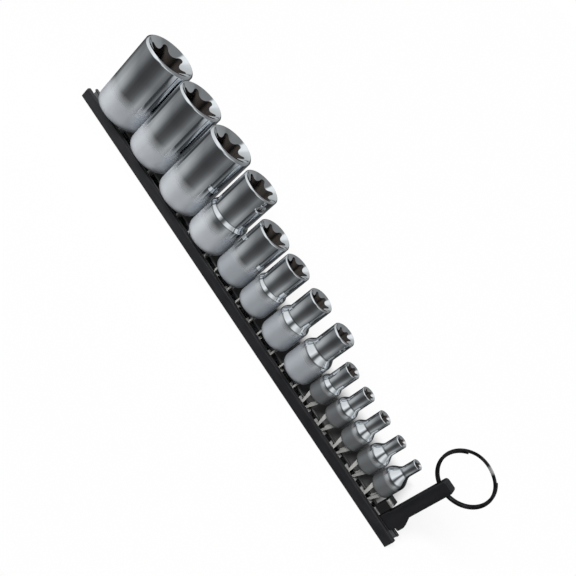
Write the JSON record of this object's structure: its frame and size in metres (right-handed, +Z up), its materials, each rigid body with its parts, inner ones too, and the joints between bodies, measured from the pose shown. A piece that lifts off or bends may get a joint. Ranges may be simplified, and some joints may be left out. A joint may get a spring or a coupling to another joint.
{
  "type": "torx socket set",
  "caption": "Rail of external six-lobe sockets in falling sizes, each lifting off a sprung steel clip that slides in the rail, with an upright hanger and a split ring.",
  "frame": {"origin": "centre of the rail's flat underside", "axes": "+X along the rail towards the small sockets and the hanger, +Z up along the sockets' axes"},
  "size_m": [0.2845, 0.0294, 0.0692],
  "materials": {
    "chrome": "bright plating over turned steel",
    "spring_steel": "bare rolled spring steel",
    "rail_paint": "semi-matte black paint",
    "hanger_plastic": "moulded black plastic with a fine grain",
    "ring_steel": "dark nickel plating"
  },
  "bodies": {
    "rail_body": {"rail": "rail_paint", "stop_clip": "spring_steel"},
    "clip_e24_body": {"clip_e24": "spring_steel"},
    "socket_e24_body": {"socket_e24": "chrome"},
    "clip_e22_body": {"clip_e22": "spring_steel"},
    "socket_e22_body": {"socket_e22": "chrome"},
    "clip_e20_body": {"clip_e20": "spring_steel"},
    "socket_e20_body": {"socket_e20": "chrome"},
    "clip_e18_body": {"clip_e18": "spring_steel"},
    "socket_e18_body": {"socket_e18": "chrome"},
    "clip_e16_body": {"clip_e16": "spring_steel"},
    "socket_e16_body": {"socket_e16": "chrome"},
    "clip_e14_body": {"clip_e14": "spring_steel"},
    "socket_e14_body": {"socket_e14": "chrome"},
    "clip_e12_body": {"clip_e12": "spring_steel"},
    "socket_e12_body": {"socket_e12": "chrome"},
    "clip_e10_body": {"clip_e10": "spring_steel"},
    "socket_e10_body": {"socket_e10": "chrome"},
    "clip_e8_body": {"clip_e8": "spring_steel"},
    "socket_e8_body": {"socket_e8": "chrome"},
    "clip_e7_body": {"clip_e7": "spring_steel"},
    "socket_e7_body": {"socket_e7": "chrome"},
    "clip_e6_body": {"clip_e6": "spring_steel"},
    "socket_e6_body": {"socket_e6": "chrome"},
    "clip_e5_body": {"clip_e5": "spring_steel"},
    "socket_e5_body": {"socket_e5": "chrome"},
    "clip_e4_body": {"clip_e4": "spring_steel"},
    "socket_e4_body": {"socket_e4": "chrome"},
    "hanger_body": {"hanger": "hanger_plastic"},
    "ring_body": {"split_ring": "ring_steel"}
  },
  "joints": [
    {"name": "clip_e24_slide", "type": "slide", "parent": "rail_body", "child": "clip_e24_body", "axis": [1, 0, 0], "range_m": [-0.01295, 0.00021]},
    {"name": "socket_e24_lift", "type": "slide", "parent": "clip_e24_body", "child": "socket_e24_body", "axis": [0, 0, 1], "range_m": [0, 0.012]},
    {"name": "clip_e22_slide", "type": "slide", "parent": "rail_body", "child": "clip_e22_body", "axis": [1, 0, 0], "range_m": [-0.00021, 0.00052]},
    {"name": "socket_e22_lift", "type": "slide", "parent": "clip_e22_body", "child": "socket_e22_body", "axis": [0, 0, 1], "range_m": [0, 0.012]},
    {"name": "clip_e20_slide", "type": "slide", "parent": "rail_body", "child": "clip_e20_body", "axis": [1, 0, 0], "range_m": [-0.00052, 0.00047]},
    {"name": "socket_e20_lift", "type": "slide", "parent": "clip_e20_body", "child": "socket_e20_body", "axis": [0, 0, 1], "range_m": [0, 0.012]},
    {"name": "clip_e18_slide", "type": "slide", "parent": "rail_body", "child": "clip_e18_body", "axis": [1, 0, 0], "range_m": [-0.00047, 0.00031]},
    {"name": "socket_e18_lift", "type": "slide", "parent": "clip_e18_body", "child": "socket_e18_body", "axis": [0, 0, 1], "range_m": [0, 0.012]},
    {"name": "clip_e16_slide", "type": "slide", "parent": "rail_body", "child": "clip_e16_body", "axis": [1, 0, 0], "range_m": [-0.00031, 0.00021]},
    {"name": "socket_e16_lift", "type": "slide", "parent": "clip_e16_body", "child": "socket_e16_body", "axis": [0, 0, 1], "range_m": [0, 0.0094]},
    {"name": "clip_e14_slide", "type": "slide", "parent": "rail_body", "child": "clip_e14_body", "axis": [1, 0, 0], "range_m": [-0.00021, 0.00063]},
    {"name": "socket_e14_lift", "type": "slide", "parent": "clip_e14_body", "child": "socket_e14_body", "axis": [0, 0, 1], "range_m": [0, 0.0094]},
    {"name": "clip_e12_slide", "type": "slide", "parent": "rail_body", "child": "clip_e12_body", "axis": [1, 0, 0], "range_m": [-0.00063, 0.00062]},
    {"name": "socket_e12_lift", "type": "slide", "parent": "clip_e12_body", "child": "socket_e12_body", "axis": [0, 0, 1], "range_m": [0, 0.0094]},
    {"name": "clip_e10_slide", "type": "slide", "parent": "rail_body", "child": "clip_e10_body", "axis": [1, 0, 0], "range_m": [-0.00062, 0.00026]},
    {"name": "socket_e10_lift", "type": "slide", "parent": "clip_e10_body", "child": "socket_e10_body", "axis": [0, 0, 1], "range_m": [0, 0.0094]},
    {"name": "clip_e8_slide", "type": "slide", "parent": "rail_body", "child": "clip_e8_body", "axis": [1, 0, 0], "range_m": [-0.00026, 0.00052]},
    {"name": "socket_e8_lift", "type": "slide", "parent": "clip_e8_body", "child": "socket_e8_body", "axis": [0, 0, 1], "range_m": [0, 0.0068]},
    {"name": "clip_e7_slide", "type": "slide", "parent": "rail_body", "child": "clip_e7_body", "axis": [1, 0, 0], "range_m": [-0.00052, 0.00037]},
    {"name": "socket_e7_lift", "type": "slide", "parent": "clip_e7_body", "child": "socket_e7_body", "axis": [0, 0, 1], "range_m": [0, 0.0068]},
    {"name": "clip_e6_slide", "type": "slide", "parent": "rail_body", "child": "clip_e6_body", "axis": [1, 0, 0], "range_m": [-0.00037, 0.00042]},
    {"name": "socket_e6_lift", "type": "slide", "parent": "clip_e6_body", "child": "socket_e6_body", "axis": [0, 0, 1], "range_m": [0, 0.0068]},
    {"name": "clip_e5_slide", "type": "slide", "parent": "rail_body", "child": "clip_e5_body", "axis": [1, 0, 0], "range_m": [-0.00042, 0.00021]},
    {"name": "socket_e5_lift", "type": "slide", "parent": "clip_e5_body", "child": "socket_e5_body", "axis": [0, 0, 1], "range_m": [0, 0.0068]},
    {"name": "clip_e4_slide", "type": "slide", "parent": "rail_body", "child": "clip_e4_body", "axis": [1, 0, 0], "range_m": [-0.00021, 0.0001]},
    {"name": "socket_e4_lift", "type": "slide", "parent": "clip_e4_body", "child": "socket_e4_body", "axis": [0, 0, 1], "range_m": [0, 0.0068]},
    {"name": "hanger_slide", "type": "slide", "parent": "rail_body", "child": "hanger_body", "axis": [1, 0, 0], "range_m": [0, 0.0031]},
    {"name": "ring_swing", "type": "hinge", "parent": "hanger_body", "child": "ring_body", "pos_m": [0.13001, 0, 0.0419], "axis": [1, 0, 0], "range_deg": [-157, 143]}
  ]
}
